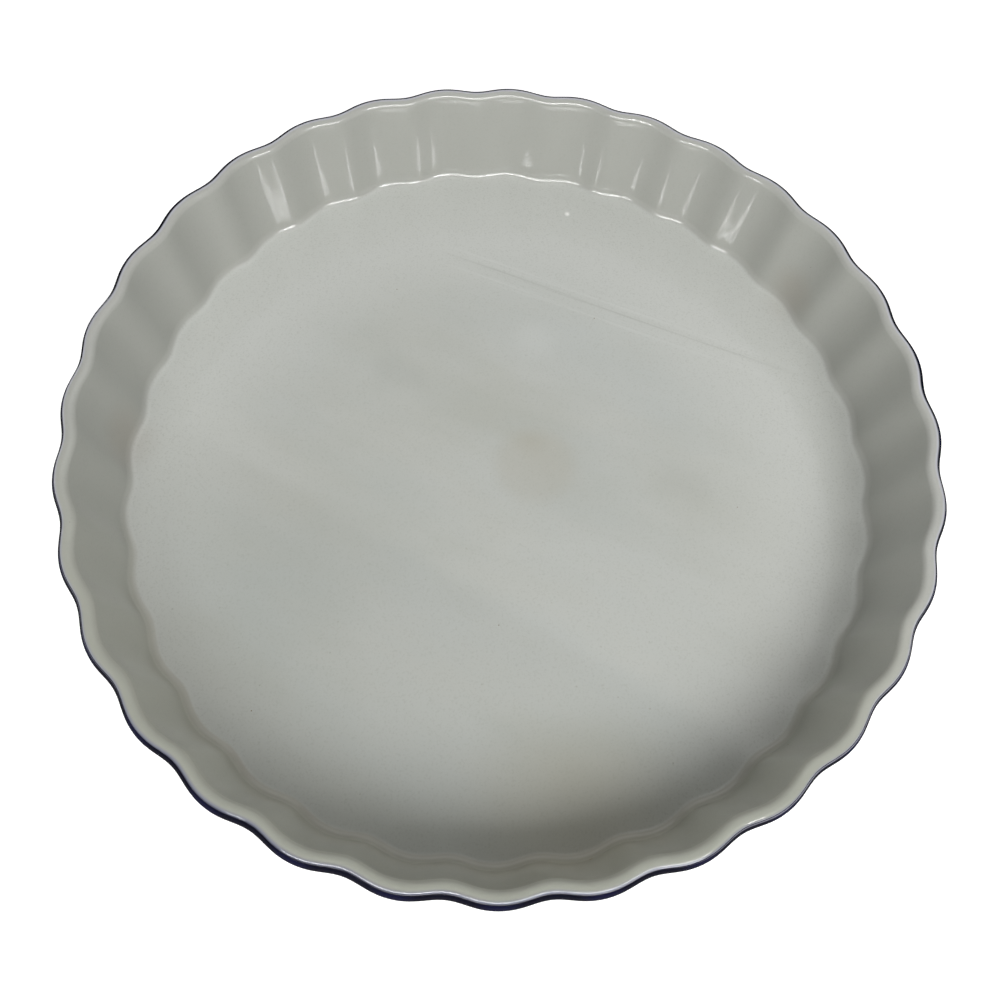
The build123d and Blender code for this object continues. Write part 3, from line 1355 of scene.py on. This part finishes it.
@dataclass(frozen=True)
class PhotoCamera:
    """Camera of the photo, fitted to the dish's own edge."""

    azimuth: float = radians(-4.92)
    elevation: float = radians(62.6)
    distance: float = 248.85 * MM
    roll: float = radians(-6.454)
    pan: float = radians(0.168)
    tilt: float = radians(6.228)
    focal_pixels: float = 788.6
    sensor_width: float = 36.0
    clip_start: float = 10 * MM

    def build(self, target: Vector) -> None:
        """Make the camera and make it the scene's.

        Args:
            target: the middle of the lip, which the distance is measured to.
        """
        data = bpy.data.cameras.new("photo_camera")
        data.sensor_width = self.sensor_width
        data.lens = self.focal_pixels / PHOTO_SIDE * self.sensor_width
        data.clip_start = self.clip_start
        camera = put_in_scene("photo_camera", data)
        turn = Matrix.Rotation(self.azimuth, 4, "Z")
        rise = Matrix.Rotation(pi / 2 - self.elevation, 4, "X")
        aim = (Matrix.Rotation(-self.tilt, 4, "X") @ Matrix.Rotation(-self.pan, 4, "Y")
               @ Matrix.Rotation(-self.roll, 4, "Z"))
        out = Matrix.Translation((0, 0, self.distance))
        camera.matrix_world = Matrix.Translation(target) @ turn @ rise @ out @ aim
        bpy.context.scene.camera = camera


@dataclass(frozen=True)
class Studio:
    """Pale floor, soft lamps and a plain bright surrounding."""

    floor_colour: str = "#F0F0EE"
    floor_radius: float = 3.0
    floor_points: int = 96
    floor_glow: float = 0.6
    even_radius: float = 0.5
    white_radius: float = 1.5
    ceiling: float = 0.05
    backdrop_top: float = radians(8)
    ceiling_edge: float = radians(22)
    fill: float = 0.03
    panel_height: float = 1.0
    panel_width: float = 2.6
    panel_depth: float = 1.6
    panel_edge_x: float = 0.022
    panel_edge_y: float = 0.192
    panel_turn: float = radians(-28.9)
    panel_power: float = 8.3
    fade_steps: int = 3
    fade_depth: float = 0.008
    fill_colour: str = "#F4F6F8"
    lamps: tuple[AreaLamp, ...] = (
        AreaLamp("glint_strip", radians(3), radians(52), 1.0, 0.08, 8.5, lights=False),
        AreaLamp("lip_strip", radians(3), radians(36), 1.0, 0.05, 3.5, lights=False),
        AreaLamp("soft_key", radians(5), radians(51), 1.0, 0.5, 6.2, glints=False),
        AreaLamp("right_softbox", radians(42), radians(55), 0.4, 0.4, 1.0),
        AreaLamp("low_front_fill", radians(-26), radians(18), 1.6, 0.5, 2.8, glints=False),
        AreaLamp("back_softbox", radians(180), radians(28), 0.8, 0.25, 0.6))

    def seen(self, tree: Tree) -> Node:
        """Tell whether a ray shows the surrounding to the camera, straight or by gloss or glass.

        Args:
            tree: the tree of the floor's material or the world.

        Returns:
            1 where it does, else 0.
        """
        rays = add_node(tree, "ShaderNodeLightPath").outputs
        shown = add_node(tree, "ShaderNodeMath", {0: rays["Is Camera Ray"], 1: rays["Is Glossy Ray"]},
                         operation="MAXIMUM")
        return add_node(tree, "ShaderNodeMath", {0: shown, 1: rays["Is Transmission Ray"]},
                        operation="MAXIMUM")

    def build_floor(self) -> None:
        """Make the floor, which glows to white where it is seen and keeps the dish's shadow."""
        mesh = bpy.data.meshes.new("studio_floor")
        disc = bmesh.new()
        bmesh.ops.create_circle(disc, cap_ends=True, segments=self.floor_points, radius=self.floor_radius)
        disc.to_mesh(mesh)
        disc.free()
        floor = put_in_scene("studio_floor", mesh)
        material, tree, place = start_material("white_card")
        card = add_node(tree, "ShaderNodeBsdfDiffuse", {"Color": linear(self.floor_colour)})
        reach = add_node(tree, "ShaderNodeVectorMath", {0: place}, operation="LENGTH").outputs["Value"]
        whiter = add_node(tree, "ShaderNodeMapRange", {
            "Value": reach, "From Min": self.even_radius, "From Max": self.white_radius,
            "To Min": self.floor_glow, "To Max": 1.0})
        shown = add_node(tree, "ShaderNodeMath", {0: self.seen(tree), 1: whiter}, operation="MULTIPLY")
        glow = add_node(tree, "ShaderNodeEmission", {"Strength": shown})
        both = add_node(tree, "ShaderNodeAddShader", {0: card, 1: glow})
        add_node(tree, "ShaderNodeOutputMaterial", {"Surface": both})
        mesh.materials.append(material)

    def build_world(self) -> None:
        """Make the surrounding: white to the camera, white under a grey ceiling to gloss, else a fill."""
        world = bpy.data.worlds.new("soft_surrounding")
        bpy.context.scene.world = world
        world.use_nodes = True
        tree = world.node_tree
        tree.nodes.clear()
        direction = add_node(tree, "ShaderNodeTexCoord").outputs["Generated"]
        rise = add_node(tree, "ShaderNodeSeparateXYZ", {0: direction}).outputs["Z"]
        glare = add_node(tree, "ShaderNodeMapRange", {
            "Value": rise, "From Min": sin(self.backdrop_top), "From Max": sin(self.ceiling_edge),
            "To Min": 1.0, "To Max": self.ceiling}, interpolation_type="SMOOTHSTEP")
        camera_ray = add_node(tree, "ShaderNodeLightPath").outputs["Is Camera Ray"]
        strength = add_node(tree, "ShaderNodeMath", {0: glare, 1: camera_ray}, operation="MAXIMUM")
        backdrop = add_node(tree, "ShaderNodeBackground", {"Color": linear("#FFFFFF"), "Strength": strength})
        fill = add_node(tree, "ShaderNodeBackground", {
            "Color": linear(self.fill_colour), "Strength": self.fill})
        mixed = add_node(tree, "ShaderNodeMixShader", {0: self.seen(tree), 1: fill, 2: backdrop})
        add_node(tree, "ShaderNodeOutputWorld", {"Surface": mixed})

    def build_ceiling(self) -> None:
        """Hang a large dim panel at the back, whose faded front edge shows softly in the dish's floor."""
        inwards = Vector((-sin(self.panel_turn), cos(self.panel_turn), 0))
        front = Vector((self.panel_edge_x, self.panel_edge_y, self.panel_height))
        fades = [(self.fade_depth, (index + 1) / (self.fade_steps + 1)) for index in range(self.fade_steps)]
        front = front - inwards * self.fade_steps * self.fade_depth / 2
        for index, (depth, share) in enumerate([*fades, (self.panel_depth, 1.0)]):
            panel = hang_lamp(f"ceiling_panel_{index + 1}", self.panel_width, depth,
                              self.panel_power * share * depth / self.panel_depth)
            panel.location = front + inwards * depth / 2
            panel.rotation_euler = (0, 0, self.panel_turn)
            front = front + inwards * depth

    def build(self, target: Vector) -> None:
        """Make floor, surrounding and lamps.

        Args:
            target: the point that the lamps face.
        """
        self.build_floor()
        self.build_world()
        for lamp in self.lamps:
            lamp.build(target)
        self.build_ceiling()


def marks_of_use(floor: float) -> tuple[Spot | Streak, ...]:
    """List the stains and specks that years of baking left in the dish, its faint lighter and darker
    patches and streaks, and a painted highlight on its largest glaze pimple.

    Args:
        floor: height of the dish's floor.

    Returns:
        The marks.
    """
    stain, rust, soot = "#A89C84", "#9A7F62", "#5A5347"
    pale, dull, painted_glint, film = "#D6D8D4", "#A2A49D", "#FFFFFC", "#B2AC94"
    streak_direction = radians(-19.8)
    # Across, back and above the floor, radius and softness in millimetres, colour and strength
    spots = (
        (11.9, -0.8, 0, 14, 4, stain, 0.17), (10.1, 8.1, 0, 4, 4, stain, 0.09),
        (93.0, -97.2, 0, 0.7, 0.3, soot, 0.8), (-66.3, -113.3, 32.5, 0.9, 0.4, soot, 0.8),
        (28.6, -129.1, 2.9, 0.6, 0.3, rust, 0.6), (26.0, -128.6, 1.5, 0.45, 0.25, rust, 0.5),
        (111.2, 72.2, 8.5, 8, 6, rust, 0.16), (-132.4, 2.4, 6.8, 9, 7, rust, 0.16),
        (-42.4, 36.0, 0, 6, 6, dull, 0.20), (-33.0, 33.0, 0, 4, 4, dull, 0.15),
        (60.4, -4.6, 0, 5, 5, dull, 0.18), (69.0, -7.5, 0, 5, 5, dull, 0.15),
        (11.8, 51.5, 0, 7, 6, pale, 0.22), (24.0, -119.0, 0, 24, 20, film, 0.28))
    # Across and back, length and width in millimetres, colour and strength
    streaks = ((43.5, 69.0, 170, 7.0, pale, 0.40), (43.5, 65.6, 160, 2.6, dull, 0.55),
             (41.5, 61.0, 170, 7.0, pale, 0.35))
    return (
        *(Spot(x * MM, y * MM, floor + rise * MM, radius * MM, softness * MM, colour, strength)
          for x, y, rise, radius, softness, colour, strength in spots),
        # Painted highlight: a white spot on the largest glaze pimple
        Spot(*LARGE_PIMPLE, floor, 0.8 * MM, 0.8 * MM, painted_glint, 0.95),
        *(Streak(x * MM, y * MM, streak_direction, length * MM, width * MM, colour, strength)
          for x, y, length, width, colour, strength in streaks))


def main() -> None:
    """Build the dish and the studio."""
    logging.basicConfig(level=logging.INFO, format="%(name)s: %(message)s")
    bpy.context.scene.view_settings.view_transform = "Standard"
    sizes = DishSizes.from_frame()
    lip_middle = Vector((0, 0, sizes.total_height))
    PhotoCamera().build(lip_middle)
    pieces = FlanDish(sizes, FlutedRing(sizes), marks_of_use(sizes.floor_level)).build()
    log.info("%d pieces", len(pieces))
    Studio().build(Vector((0, 0, sizes.floor_level)))


if __name__ == "__main__":
    main()
